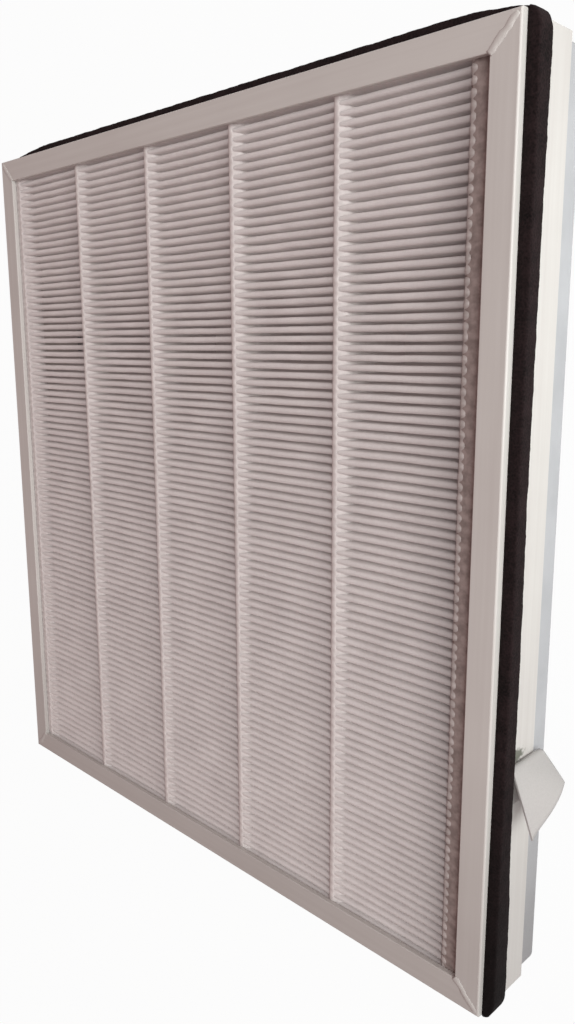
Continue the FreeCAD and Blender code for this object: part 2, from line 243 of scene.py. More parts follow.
def dark_spot_share(tree, place, size):
    """Share of a dark spot round a place: full in the middle, broken up by a noise towards the rim."""
    sides = zip(parts_of(tree, object_place(tree)), place, size)
    away = [(axis - middle) / reach for axis, middle, reach in sides]
    distance = away[0] * away[0] + away[1] * away[1] + away[2] * away[2]
    specks = grain(tree, object_place(tree), 700.0, detail=3.0)
    return widen((distance * -1.0).exp() * 1.2 + specks * 1.2, 1.05, 1.45)


def shaded_at_foot(tree, colour, share, foot_shade_colour=FOOT_SHADE_COLOUR):
    """The colour with painted shade over the foot end of the filter."""
    up = parts_of(tree, object_place(tree))[1]
    return blend_colours(tree, widen(up, FOOT_SHADE_START, FOOT_SHADE_FULL) * share, colour, foot_shade_colour)


def white_plastic(name, stretch, spot_where=None):
    material, tree, shader = new_material(name)
    streaks = grain(tree, object_place(tree, stretch), 420.0, detail=2.0)
    clouds = grain(tree, object_place(tree), 28.0, detail=2.0)
    share = widen(streaks * 0.6 + clouds * 0.4, 0.32, 0.68)
    # Painted shade darkens the foot end of the frame a little
    colour = shaded_at_foot(tree, blend_colours(tree, share, WHITE_LIGHT, WHITE_DARK), 0.2)
    # A dark speckled spot, where one is asked for
    if spot_where:
        colour = blend_colours(tree, dark_spot_share(tree, *spot_where), colour, SPOT_COLOUR)
    feed(tree, shader.inputs["Base Color"], colour)
    feed(tree, shader.inputs["Roughness"], 0.38 + streaks * 0.16)
    rough_up(tree, shader, streaks * 0.7 + grain(tree, object_place(tree), 1800.0) * 0.3, 0.05 * MM)
    return material


# The dark spot is centred on the wall's face, just above the tab's fold and a little behind the tab's front
# edge
wall_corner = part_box("front_frame_right")[1]
tab_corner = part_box("pull_tab")[1]
spot_place = (wall_corner.x, tab_corner.y + 2.0 * MM, tab_corner.z - 9 * MM)
spot_size = (10 * MM, 3.2 * MM, 8.0 * MM)
upright_plastic = white_plastic("white_plastic_upright", (1.0, 0.02, 1.0), (spot_place, spot_size))
level_plastic = white_plastic("white_plastic_level", (0.02, 1.0, 1.0))
print("Dirt above the tab at", [round(value, 3) for value in spot_place], "m")

# %% [markdown]
# The tray is moulded, so it has no streaks. Clouds of two close greys and fine pores are enough, and the
# painted shade over its foot end is stronger than on the frame.

# %% Grey plastic of the rear tray
def grey_plastic():
    material, tree, shader = new_material("grey_plastic")
    clouds = grain(tree, object_place(tree), 35.0, detail=3.0)
    pores = grain(tree, object_place(tree), 1400.0, detail=2.0)
    share = widen(clouds, 0.35, 0.65)
    colour = blend_colours(tree, share, seen(176, 178, 181), seen(167, 169, 172))
    # Painted shade darkens the foot end of the tray
    feed(tree, shader.inputs["Base Color"], shaded_at_foot(tree, colour, 0.6))
    feed(tree, shader.inputs["Roughness"], 0.42 + pores * 0.18)
    rough_up(tree, shader, pores, 0.06 * MM)
    return material


tray_plastic = grey_plastic()
print("Tray finish:", len(tray_plastic.node_tree.nodes), "nodes")

# %% [markdown]
# The sheet is a mat of fine fibres. Close up it shows as short threads at all angles. Two noises that are
# stretched in different ways give that look, and a coarser one gives the slight greying of a sheet that has
# handled some air.
#
# The fibres also let light through. A third of the shader is translucent, so a fold that is lit from one
# side is not black on the other. The sheet also has a faint reddish glow, which is painted light: it stands in
# for the light that reaches deep into the gaps. Cycles would treat all those glowing faces as lamps and slow
# down, so that is switched off.
#
# In the photo each panel is darkest just left of a line of glue and near the right flange, where the teeth of
# glue and the flange shade it. This finish paints that shade into the colour: the painted shade falls off from
# those places as an exponential, and it stays near the tips. The material needs the places of the lines, so
# the function waits for the cell that works them out.

# %% Fibrous filter sheet
# Painted light: the faint reddish glow of the sheet and of the glue stands in for light deep in the gaps
PAINTED_GLOW_COLOUR = (1.0, 0.80, 0.78, 1.0)
SHEET_PAINTED_GLOW = 0.037
GLUE_PAINTED_GLOW = 1.2 * SHEET_PAINTED_GLOW
THROUGH_SHARE = 0.35
# Painted shade beside the lines of glue and the right flange: its colour, its strengths and how far it reaches
PAINTED_SHADE_COLOUR = seen(96, 78, 75)
PAINTED_SHADE_AT_LINES = 0.17
LINE_REACH = 10 * MM
PAINTED_SHADE_AT_EDGE = 0.30
EDGE_REACH = 14 * MM
PAINTED_SHADE_ENDS = 0.018
PAINTED_SHADE_FULL = 0.040


def filter_sheet(first_line, last_line, line_pitch):
    material, tree, shader = new_material("filter_sheet")
    lengthways = grain(tree, object_place(tree, (0.22, 1.0, 1.0)), 1500.0, detail=4.0, roughness=0.65)
    crossways = grain(tree, object_place(tree, (1.0, 0.3, 0.3)), 1300.0, detail=4.0, roughness=0.65)
    clouds = grain(tree, object_place(tree), 60.0, detail=3.0)
    fibres = lengthways * 0.5 + crossways * 0.5
    share = widen(fibres * 0.55 + clouds * 0.45, 0.36, 0.64)
    colour = blend_colours(tree, share, seen(243, 241, 240), seen(231, 228, 227))

    # Painted shade just left of each line of glue, most of all along the right edge, and not deep in the gaps
    across, _, height = parts_of(tree, object_place(tree))
    to_next_line = (first_line - across) % line_pitch
    to_last_line = (across - last_line).abs()
    at_lines = (to_next_line / -LINE_REACH).exp() * PAINTED_SHADE_AT_LINES
    at_edge = (to_last_line / -EDGE_REACH).exp() * PAINTED_SHADE_AT_EDGE
    painted_shade = (at_lines + at_edge) * widen(height, PAINTED_SHADE_ENDS, PAINTED_SHADE_FULL)
    colour = blend_colours(tree, painted_shade, colour, PAINTED_SHADE_COLOUR)
    feed(tree, shader.inputs["Base Color"], colour)
    shader.inputs["Roughness"].default_value = 0.9
    shader.inputs["Specular IOR Level"].default_value = 0.25
    rough_up(tree, shader, fibres, 0.16 * MM, 0.8)
    # Painted light: a faint glow in place of the light that reaches deep into the gaps
    shader.inputs["Emission Color"].default_value = PAINTED_GLOW_COLOUR
    shader.inputs["Emission Strength"].default_value = SHEET_PAINTED_GLOW
    through = add_node(tree, "ShaderNodeBsdfTranslucent", {"Color": colour})
    mixed = add_node(tree, "ShaderNodeMixShader")
    mixed.inputs[0].default_value = THROUGH_SHARE
    feed(tree, mixed.inputs[1], shader.outputs[0])
    feed(tree, mixed.inputs[2], through.outputs[0])
    tree.links.new(mixed.outputs[0], tree.nodes["Material Output"].inputs["Surface"])
    material.cycles.emission_sampling = "NONE"
    return material


# %% [markdown]
# Fresh hot melt is off-white, a little glossy and lets light through. It has the sheet's faint glow too, which
# is painted light: without it each tooth of glue would be a black wall at the end of its gap. Near the right
# flange the last line of glue and the wide band at the pleat ends get darker, browner copies of the glue,
# which are painted shade from the flange. The same function makes all of them.

# %% Hot melt and edge glue
def glue(name, light, dark, roughness, glow=0.0):
    """Set hot melt: smooth, a little uneven, glossier than what it holds."""
    material, tree, shader = new_material(name)
    lumps = grain(tree, object_place(tree), 260.0, detail=2.0)
    share = widen(lumps, 0.35, 0.65)
    feed(tree, shader.inputs["Base Color"], blend_colours(tree, share, light, dark))
    feed(tree, shader.inputs["Roughness"], roughness + lumps * 0.15)
    # Painted light: a faint glow, where one is given, keeps the teeth of glue from going black in the gaps
    shader.inputs["Emission Color"].default_value = PAINTED_GLOW_COLOUR
    shader.inputs["Emission Strength"].default_value = glow
    rough_up(tree, shader, lumps, 0.12 * MM)
    material.cycles.emission_sampling = "NONE"
    return material


# The clean glue and the edge glue get the painted glow
bead_finish = glue("hot_melt", seen(200, 194, 192), seen(188, 182, 180), roughness=0.55, glow=GLUE_PAINTED_GLOW)
# Painted shade: darker copies of the glue for the last line and the band in the right flange's shade
shaded_glue_finish = glue("shaded_hot_melt", seen(180, 172, 169), seen(162, 154, 151), roughness=0.6)
deep_shaded_glue_finish = glue("deep_shaded_hot_melt", seen(158, 145, 141), seen(130, 118, 114), roughness=0.8)
sealant_finish = glue("edge_glue", seen(214, 207, 200), seen(196, 188, 182), roughness=0.40, glow=GLUE_PAINTED_GLOW)
print("Glue roughness from 0.40 at the edges to 0.8 on the brown band; glow", round(GLUE_PAINTED_GLOW, 3))

# %% [markdown]
# Foam is mostly holes. A Voronoi pattern gives the open cells, a fine noise the fuzz of the cut faces, and a
# coarse one the uneven black that the photo shows. Modelled cells would take millions of faces.

# %% Black foam
def black_foam():
    """Open cells: dark pits between thin brownish black walls, with a little fuzz on the cut faces."""
    material, tree, shader = new_material("black_foam")
    place = object_place(tree)
    cells = add_node(tree, "ShaderNodeTexVoronoi", {"Vector": place, "Scale": 1100.0})
    pits = Field(tree, cells.outputs["Distance"])
    fuzz = grain(tree, place, 2400.0, detail=3.0, roughness=0.7)
    clouds = grain(tree, place, 110.0, detail=3.0)
    share = widen(pits * 0.3 + fuzz * 0.2 + clouds * 0.5, 0.3, 0.6)
    colour = blend_colours(tree, share, seen(7, 5, 5), seen(36, 26, 27))
    # Painted shade makes the foam nearly black towards the foot end
    feed(tree, shader.inputs["Base Color"], shaded_at_foot(tree, colour, 0.9, seen(2, 2, 2)))
    shader.inputs["Roughness"].default_value = 0.95
    shader.inputs["Specular IOR Level"].default_value = 0.15
    shader.inputs["Sheen Weight"].default_value = 0.06
    shader.inputs["Sheen Roughness"].default_value = 0.6
    shader.inputs["Sheen Tint"].default_value = seen(120, 105, 105)
    rough_up(tree, shader, pits * 0.6 + fuzz * 0.4, 0.35 * MM)
    return material


foam_finish = black_foam()
print("Foam finish:", len(foam_finish.node_tree.nodes), "nodes")

# %% [markdown]
# The ribbon is a bonded fabric tape. Its threads follow the tape round the fold, so this pattern reads a UV
# map that is laid out in millimetres along and across the tape.

# %% Ribbon cloth
THREAD_SPACING = 0.55


def ribbon_cloth():
    material, tree, shader = new_material("ribbon_cloth")
    across, along, _ = parts_of(tree, add_node(tree, "ShaderNodeUVMap", uv_map="tape").outputs[0])
    warp = (across * (2 * math.pi / THREAD_SPACING)).sin()
    weft = (along * (2 * math.pi / THREAD_SPACING)).sin()
    weave = warp * weft * 0.5 + 0.5
    fuzz = grain(tree, object_place(tree), 1500.0, detail=3.0)
    share = widen(weave * 0.4 + fuzz * 0.6, 0.25, 0.75)
    colour = blend_colours(tree, share, seen(186, 184, 182), seen(172, 170, 168))
    feed(tree, shader.inputs["Base Color"], colour)
    shader.inputs["Roughness"].default_value = 0.85
    shader.inputs["Sheen Weight"].default_value = 0.15
    rough_up(tree, shader, weave * 0.6 + fuzz * 0.4, 0.10 * MM)
    return material


ribbon_finish = ribbon_cloth()
print("Materials:", sorted(material.name for material in bpy.data.materials))

# %% [markdown]
# ## The rigid pieces
# The front frame and the tray come from the CAD model with the right shape. They only need their finish.
# The glue between tray and sheet is out of sight but for thin lines, and it is treated the same way.

# %% Dress the CAD pieces that stay
def set_finish(mesh, material):
    mesh.materials.clear()
    mesh.materials.append(material)


finishes = {"rear_frame": tray_plastic}
for side in ("left", "right"):
    finishes[f"front_frame_{side}"] = upright_plastic
for side in ("top", "bottom"):
    finishes[f"front_frame_{side}"] = level_plastic
for side in ("left", "right", "top", "bottom"):
    finishes[f"edge_sealant_{side}"] = sealant_finish
for node, finish in finishes.items():
    set_finish(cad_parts[node].data, finish)
print("Kept from the CAD model:", ", ".join(finishes))

# %% [markdown]
# ## Helpers for new pieces
# Every new piece ends as a plain mesh on an object at the origin, which rides on the filter's one body. Some
# meshes are put together point by point. Others are grown by a Geometry Nodes tree or thickened by a modifier,
# on a holder that is only there for that and goes once its result is taken.

# %% Objects and meshes
def new_object(name, data):
    """A new object in the scene."""
    item = bpy.data.objects.new(name, data)
    bpy.context.scene.collection.objects.link(item)
    return item


def add_piece(name, mesh):
    """A finished mesh as an object that rides on the filter. Its place is in its mesh."""
    mesh.name = name
    piece = new_object(name, mesh)
    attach(piece, "root")
    return piece


def mesh_from(shell, name):
    mesh = bpy.data.meshes.new(name)
    shell.to_mesh(mesh)
    shell.free()
    return mesh


def face_outwards(mesh):
    shell = bmesh.new()
    shell.from_mesh(mesh)
    bmesh.ops.recalc_face_normals(shell, faces=shell.faces)
    shell.to_mesh(mesh)
    shell.free()


def count_triangles(mesh):
    return sum(len(polygon.vertices) - 2 for polygon in mesh.polygons)


def add_wall(holder, thickness, even=False):
    """Gives a thin sheet its thickness, half to each side."""
    wall = holder.modifiers.new("wall", "SOLIDIFY")
    wall.thickness = thickness
    wall.offset = 0.0
    wall.use_even_offset = even


def take_mesh(holder):
    """The holder's result as a plain mesh. The holder goes."""
    graph = bpy.context.evaluated_depsgraph_get()
    mesh = bpy.data.meshes.new_from_object(holder.evaluated_get(graph))
    bpy.data.objects.remove(holder)
    return mesh


# %% Geometry Nodes trees
def new_tree(name, sizes):
    """A Geometry Nodes tree with a named input for each size, and those inputs as Fields."""
    tree = bpy.data.node_groups.new(name, "GeometryNodeTree")
    tree.interface.new_socket("Geometry", in_out="OUTPUT", socket_type="NodeSocketGeometry")
    kinds = {int: "NodeSocketInt", float: "NodeSocketFloat", bpy.types.Material: "NodeSocketMaterial"}
    for label, value in sizes.items():
        tree.interface.new_socket(label, in_out="INPUT", socket_type=kinds[type(value)])
    source = tree.nodes.new("NodeGroupInput")
    return tree, {label: Field(tree, source.outputs[label]) for label in sizes}


def end_tree(tree, geometry, material):
    """The last nodes of every tree: real geometry, smooth faces, one material."""
    realised = add_node(tree, "GeometryNodeRealizeInstances", {"Geometry": geometry})
    smooth = add_node(tree, "GeometryNodeSetShadeSmooth", {"Geometry": realised.outputs[0]})
    painted = add_node(
        tree, "GeometryNodeSetMaterial", {"Geometry": smooth.outputs[0], "Material": material}
    )
    output = tree.nodes.new("NodeGroupOutput")
    tree.links.new(painted.outputs[0], output.inputs["Geometry"])


def grow(tree, sizes, thickness=0.0):
    """Runs a tree once with these sizes and gives the result as a plain mesh."""
    holder = new_object("grower", bpy.data.meshes.new("grower"))
    modifier = holder.modifiers.new("grow", "NODES")
    modifier.node_group = tree
    for item in tree.interface.items_tree:
        if item.item_type == "SOCKET" and item.in_out == "INPUT":
            modifier[item.identifier] = sizes[item.name]
    if thickness:
        add_wall(holder, thickness)
    return take_mesh(holder)


# %% [markdown]
# ## The folded sheet
# The filter's working part is one long sheet, folded to and fro about ninety times. Drawing ninety folds by
# hand would be slow and stiff. A grid does it: its rows are numbered, and eight rows in turn make one pleat,
# five round the front fold, which shows, and three round the rear one. The walls between the folds need none.
#
# A real pleat is held straight only where the lines of glue cross it. Between them it sways by a fraction
# of a millimetre and sinks a little, so a noise moves each fold, and its strength falls to nothing at every
# line. The sheet bends most close to the lines. A sine that is added to the place of each column of the grid
# gathers the columns there, so the same number of faces gives a smoother bend.

# %% Sizes of the pleats
PLEAT_PITCH = 4.2 * MM
SHEET_THICKNESS = 0.7 * MM
BEAD_COUNT = 6
FRONT_ROWS = 5
REAR_ROWS = 3
ROWS_PER_PLEAT = FRONT_ROWS + REAR_ROWS

# In the photo the lines stand this far from the middle of the CAD model's rear beads
LINE_SHIFT = -2.7 * MM

# Two neighbouring folds read the noise this far apart: each waves by itself, but groups of them lean together
WAVE_STEP = 9.7
GROUP_STEP = 0.35
GROUP_MIDDLE = 0.6

sheet_low, sheet_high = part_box("pleated_media")
pleat_count = round((sheet_high.y - sheet_low.y) / PLEAT_PITCH)
bead_places = []
for line in range(1, BEAD_COUNT + 1):
    bead_low, bead_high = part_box(f"rear_bead_{line}")
    bead_places.append((bead_low.x + bead_high.x) / 2 + LINE_SHIFT)
bead_pitch = bead_places[1] - bead_places[0]
sheet_finish = filter_sheet(bead_places[0], bead_places[-1], bead_pitch)
print(pleat_count, "pleats; glue lines at", [round(place / MM, 1) for place in bead_places], "mm")

# %% Geometry Nodes that fold the sheet
pleat_sizes = {
    "Width": sheet_high.x - sheet_low.x,
    "Pleats": pleat_count,
    "Pitch": PLEAT_PITCH,
    "Front": sheet_high.z - SHEET_THICKNESS / 2,
    "Rear": sheet_low.z + SHEET_THICKNESS / 2,
    "Fold radius": 1.05 * MM,
    "Segments": 64,
    "Gather": 0.7,
    "First line": bead_places[0],
    "Line pitch": bead_pitch,
    "Sway": 1.0 * MM,
    "Lean": 5.0 * MM,
    "Dip": 0.8 * MM,
    "Slope": 8.0 * MM,
    "Wave length": 15.0 * MM,
    "Seed": 4.0,
    "Material": sheet_finish,
}


def pleated_sheet_tree(sizes):
    tree, size = new_tree("Pleated sheet", sizes)
    rows = size["Pleats"] * ROWS_PER_PLEAT + 1
    grid = add_node(tree, "GeometryNodeMeshGrid", {
        "Size X": size["Width"], "Size Y": 1.0, "Vertices X": size["Segments"] + 1, "Vertices Y": rows,
    })
    index = Field(tree, tree.nodes.new("GeometryNodeInputIndex").outputs[0])
    even = parts_of(tree, tree.nodes.new("GeometryNodeInputPosition").outputs[0])[0]
    cycle = ((even - size["First line"]) * (2 * math.pi) / size["Line pitch"]).sin()
    along = even - cycle * size["Gather"] * size["Line pitch"] * (0.5 / math.pi)

    # The sheet starts and ends in the middle of a rear fold
    row = index % rows + (FRONT_ROWS + REAR_ROWS // 2)
    pleat = (row / ROWS_PER_PLEAT).floor()
    step = row % ROWS_PER_PLEAT
    at_rear = step > (FRONT_ROWS - 0.5)
    middle = at_rear * (REAR_ROWS // 2 - FRONT_ROWS // 2) + FRONT_ROWS // 2
    turn = (step - at_rear * FRONT_ROWS - middle) * (math.pi / 2) / middle
    fold = pleat + at_rear * 0.5

    to_line = ((along - size["First line"]) * math.pi / size["Line pitch"]).sin().abs()
    free = to_line * to_line
    apart = to_line * size["Line pitch"] / (size["Slope"] * math.pi)
    sag = 1.0 - (apart * -1.0).exp()
    waves = add_node(tree, "ShaderNodeTexNoise", {
        "Vector": vector(tree, along / size["Wave length"], fold * WAVE_STEP, size["Seed"]),
        "Scale": 1.0, "Detail": 1.5, "Roughness": 0.5,
    })
    sideways, depth, girth = parts_of(tree, waves.outputs["Color"])
    radius = size["Fold radius"] * (0.9 + girth * 0.2)
    y = (fold - size["Pleats"] * 0.5 - 0.5) * size["Pitch"] + turn.sin() * radius
    y = y + (sideways - 0.5) * size["Sway"] * free

    # The walls lean a little, in groups of neighbours, because the rear folds sway further than the front ones
    groups = add_node(tree, "ShaderNodeTexNoise", {
        "Vector": vector(tree, along / size["Line pitch"], fold * GROUP_STEP, size["Seed"]),
        "Scale": 1.0, "Detail": 1.0, "Roughness": 0.5,
    })
    lean = (Field(tree, groups.outputs[0]) - GROUP_MIDDLE) * size["Lean"] * free
    y = y + at_rear * lean
    inset = (1.0 - turn.cos()) * radius + (0.5 + depth) * sag * size["Dip"]
    z = size["Front"] - inset + at_rear * (size["Rear"] - size["Front"] + inset * 2)
    moved = add_node(tree, "GeometryNodeSetPosition", {
        "Geometry": grid.outputs["Mesh"], "Position": vector(tree, along, y, z),
    })
    end_tree(tree, moved.outputs[0], size["Material"])
    return tree


sheet_mesh = grow(pleated_sheet_tree(pleat_sizes), pleat_sizes, thickness=SHEET_THICKNESS)
set_finish(sheet_mesh, sheet_finish)
sheet_piece = add_piece("folded_sheet", sheet_mesh)
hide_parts("pleated_media")
print("Folded sheet:", count_triangles(sheet_mesh), "triangles")

# %% [markdown]
# ## The lines of hot melt
# Before the sheet is folded, thin strands of hot melt are laid across it. Folding presses them together in
# every valley, where they fill the gap, and leaves a thin layer over every tip. The result is a comb: teeth in
# the valleys, joined over the tips. A cylinder with many rings makes it. Each ring is moved to its place along
# the line, and its lower half reaches down into a valley or stays just under a tip.
#
# A strand drags a thin skin of glue along one side of the line when the pleats close, and this shows in the
# photo as light that fades to the right of each line. The Trail moves the lower half of a ring out that way.
# The outermost lines run beside wide bands of edge glue. A band is the same tree with other sizes: as wide as
# the gap from the line to the end of the pleats, with a lower crown and no trail.

# %% Geometry Nodes that shape one comb of glue
RINGS_PER_PLEAT = 8
VALLEY_HALF = 0.3
LAYER_DEPTH = 0.5 * MM
LAYER_SINK = 0.2 * MM
comb_sizes = {
    "Folds": pleat_count - 1,
    "Pitch": PLEAT_PITCH,
    "Start": 0.0,
    "Across": 0.0,
    "Tip": 0.0,
    "Reach": 0.0,
    "Width": 3.0 * MM,
    "Cover": 0.4 * MM,
    "Hollow": 0.35 * MM,
    "Taper": 0.8,
    "Trail": 9.0 * MM,
    "Seed": 1.0,
    "Material": bead_finish,
}


def glue_comb_tree(sizes):
    """Reach is signed: it leads from the tips to the bottom of the valleys. Offset runs from -0.5 to 0.5."""
    tree, size = new_tree("Glue comb", sizes)
    rings = size["Folds"] * RINGS_PER_PLEAT
    strand = add_node(tree, "GeometryNodeMeshCylinder", {
        "Vertices": 14, "Side Segments": rings, "Radius": 1.0, "Depth": rings,
    }, fill_type="NGON")
    around_x, around_y, height = parts_of(tree, tree.nodes.new("GeometryNodeInputPosition").outputs[0])
    outward = size["Reach"] / size["Reach"].abs() * -1.0

    share = (height + rings * 0.5) / RINGS_PER_PLEAT
    offset = (share + 0.0001).floor() * -1.0 + share - 0.5
    in_valley = VALLEY_HALF - offset.abs() > 0.0
    below = 0.0 - around_y > 0.1
    narrow = 1.0 - in_valley * below * (1.0 - size["Taper"])
    y = size["Start"] + (share - offset + offset * narrow) * size["Pitch"]

    wobble = add_node(tree, "ShaderNodeTexNoise", {
        "Vector": vector(tree, share * 0.9, size["Across"] * 40.0, size["Seed"]), "Scale": 1.0, "Detail": 2.0,
    })
    shift, girth, lift = parts_of(tree, wobble.outputs["Color"])
    bulge = 1.0 + (offset * (2 * math.pi)).cos() * 0.10
    half_width = size["Width"] * 0.5 * bulge * (0.8 + girth * 0.4)
    trail = (around_x > 0.0) * around_y.abs() * size["Trail"] * below * in_valley
    x = size["Across"] + (shift - 0.5) * 0.5 * MM + around_x * half_width + trail

    dent = ((offset * (2 * math.pi)).cos() * 0.5 + 0.5) * size["Hollow"]
    crown = size["Cover"] * (0.7 + lift * 0.6) - dent - (1.0 - around_y) * (size["Cover"] + LAYER_SINK)
    fullness = around_y * around_y * around_y * around_y
    foot = 0.0 - LAYER_DEPTH - in_valley * (size["Reach"].abs() - LAYER_DEPTH) * fullness
    rise = crown + below * (foot - crown)
    moved = add_node(tree, "GeometryNodeSetPosition", {
        "Geometry": strand.outputs["Mesh"], "Position": vector(tree, x, y, size["Tip"] + outward * rise),
    })
    end_tree(tree, moved.outputs[0], size["Material"])
    return tree


# %% Grow the twelve combs and the two bands
WIDEST_LINE = 5 * MM
TOOTH_CLEARANCE = 0.9 * MM
# The last line lies in the right flange's shade, painted into a darker copy of the glue
shaded_glue_line = {"Width": 3.0 * MM, "Hollow": 0.8 * MM, "Trail": 0.0, "Material": shaded_glue_finish}
wide_band = {"Cover": 0.25 * MM, "Hollow": 0.3 * MM, "Taper": 1.0, "Trail": 0.0}

comb_tree = glue_comb_tree(comb_sizes)
sides = {
    "front": {"Folds": pleat_count - 1, "Start": sheet_low.y + PLEAT_PITCH / 2, "Tip": sheet_high.z},
    "rear": {"Folds": pleat_count, "Start": sheet_low.y, "Tip": sheet_low.z},
}


def add_glue(name, node, sizes):
    mesh = grow(comb_tree, sizes)
    face_outwards(mesh)
    set_finish(mesh, sizes["Material"])
    comb = add_piece(name, mesh)
    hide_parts(node)
    return count_triangles(mesh)


for side, side_sizes in sides.items():
    for line, place in enumerate(bead_places, start=1):
        node = f"{side}_bead_{line}"
        low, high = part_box(node)
        sizes = {**comb_sizes, **side_sizes, "Across": place, "Seed": float(line)}
        sizes["Reach"] = (high.z - low.z - TOOTH_CLEARANCE) * (-1 if side == "front" else 1)
        if line == BEAD_COUNT:
            sizes.update(shaded_glue_line)
        triangles = add_glue(f"{side}_glue_line_{line}", node, sizes)
        if high.x - low.x > WIDEST_LINE:
            outer = math.copysign(max(abs(low.x), abs(high.x)), place)
            sizes["Across"] = (place + outer) / 2
            sizes["Width"] = abs(outer - place)
            sizes.update(wide_band)
            # The band beside the right flange gets the darkest copy of the glue, painted shade
            if line == BEAD_COUNT:
                sizes["Material"] = deep_shaded_glue_finish
            triangles = add_glue(f"{side}_glue_band_{line}", node, sizes)
print("Each comb:", triangles, "triangles")

# %% [markdown]
# ## The foam strip
# One strip of foam runs round the frame, and its two ends meet at the bottom. Foam that is pulled round a
# corner gets thinner there, and the bottom length is pressed flatter than the others. The strip is a row of
# cross-sections. Each one knows where it sits on the frame's wall, which way it faces, and how thick the foam
# is there. At a corner the sections fan round.
#
# Foam tape is never cut or laid quite straight. On the right wall, where the photo shows it from near by, two
# short tables say how much wider the strip is at each height.

# %% Stations of the foam strip
STRIP_STEP = 1.1 * MM
FAN_STEPS = 9
STRIP_JOINT = 0.5 * MM
FOAM_CORNER = 13 * MM
SOFT_EDGE = 1.0 * MM

wall_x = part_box("front_frame_right")[1].x
wall_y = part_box("front_frame_top")[1].y
foam_low, foam_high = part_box("foam_seal")
foam_thickness = foam_high.x - wall_x


def between(pairs, place):
    """Straight interpolation between pairs of a place and a value."""
    for (start, first), (end, last) in zip(pairs, pairs[1:]):
        if place <= end:
            return first + (last - first) * (place - start) / (end - start)
    return pairs[-1][1]


def side_share(place, outward):
    """Thickness on a side as a share of the full one: thin near the corners, squeezed at the bottom."""
    if outward.x > 0.5:
        return 1.0
    to_corner = wall_x - abs(place.x) if abs(outward.x) < 0.5 else wall_y - abs(place.y)

    # The share in the middle of the side, the share of that which is lost at a corner, and how far this runs
    if outward.y < -0.5:
        full, lost, run = 0.66, 0.5, 20 * MM
    elif place.x > 0 and outward.y > 0.5:
        full, lost, run = 0.89, 0.52, 16 * MM
    else:
        full, lost, run = 0.89, 0.8, 26 * MM
    return full * (1 - lost * math.exp(-((to_corner / run) ** 2)))


def strip_stations():
    """Place on the wall, outward direction and thickness of the foam, all round from the joint."""
    corners = [Vector((wall_x, -wall_y)), Vector((wall_x, wall_y)),
               Vector((-wall_x, wall_y)), Vector((-wall_x, -wall_y))]
    ends = [*corners, Vector((-STRIP_JOINT / 2, -wall_y))]
    start = Vector((STRIP_JOINT / 2, -wall_y))
    outward = Vector((0, -1))
    arc_inset = FOAM_CORNER - foam_thickness
    stations = []
    for number, end in enumerate(ends):
        run = end - start
        steps = max(2, round(run.length / STRIP_STEP))
        for step in range(steps + 1):
            place = start + run * (step / steps)
            to_corner = min((place - corner).length for corner in corners)
            thickness = foam_thickness
            if to_corner < arc_inset:
                thickness = math.sqrt(FOAM_CORNER**2 - (arc_inset - to_corner) ** 2) - arc_inset
            stations.append((place, outward.copy(), thickness * side_share(place, outward)))
        if number < len(corners):
            following = Matrix.Rotation(math.radians(90), 2) @ outward
            before = side_share(end, outward)
            after = side_share(end, following)
            for step in range(1, FAN_STEPS):
                share = step / FAN_STEPS
                turn = math.radians(90) * share
                facing = Matrix.Rotation(turn, 2) @ outward
                lean = arc_inset * (math.cos(turn) + math.sin(turn))
                thickness = math.sqrt(lean**2 + FOAM_CORNER**2 - 2 * arc_inset**2) - lean
                stations.append((end.copy(), facing, thickness * (before + (after - before) * share)))
            outward = following
        start = end
    return stations


# %% Mesh of the foam strip
def strip_section(low, high, thickness):
    """Cross-section of the foam, as pairs of distance from the wall and height, with soft outer edges."""
    edge = min(SOFT_EDGE, thickness * 0.4)
    points = [(0.0, low), (thickness * 0.5, low)]
    for step in range(4):
        turn = math.radians(90) * step / 3
        points.append((thickness - edge + edge * math.sin(turn), low + edge - edge * math.cos(turn)))
    for share in (0.35, 0.65):
        points.append((thickness, low + edge + (high - low - 2 * edge) * share))
    for step in range(4):
        turn = math.radians(90) * step / 3
        points.append((thickness - edge + edge * math.cos(turn), high - edge + edge * math.sin(turn)))
    points += [(thickness * 0.5, high), (0.0, high)]
    return points


# Place up the right wall, and how much wider the strip is there towards the front and the rear, in metres
FRONT_EDGE = [(-0.2, 0.0017), (-0.13, 0.0013), (-0.05, 0.0007), (0.1, 0.0007), (0.2, 0.0009)]
REAR_EDGE = [(-0.2, 0.0022), (-0.15, 0.0016), (-0.124, 0.0003), (-0.086, 0.0003), (-0.04, 0.0005),
             (0.02, -0.0002), (0.08, 0.0), (0.15, 0.0007), (0.2, 0.0015)]


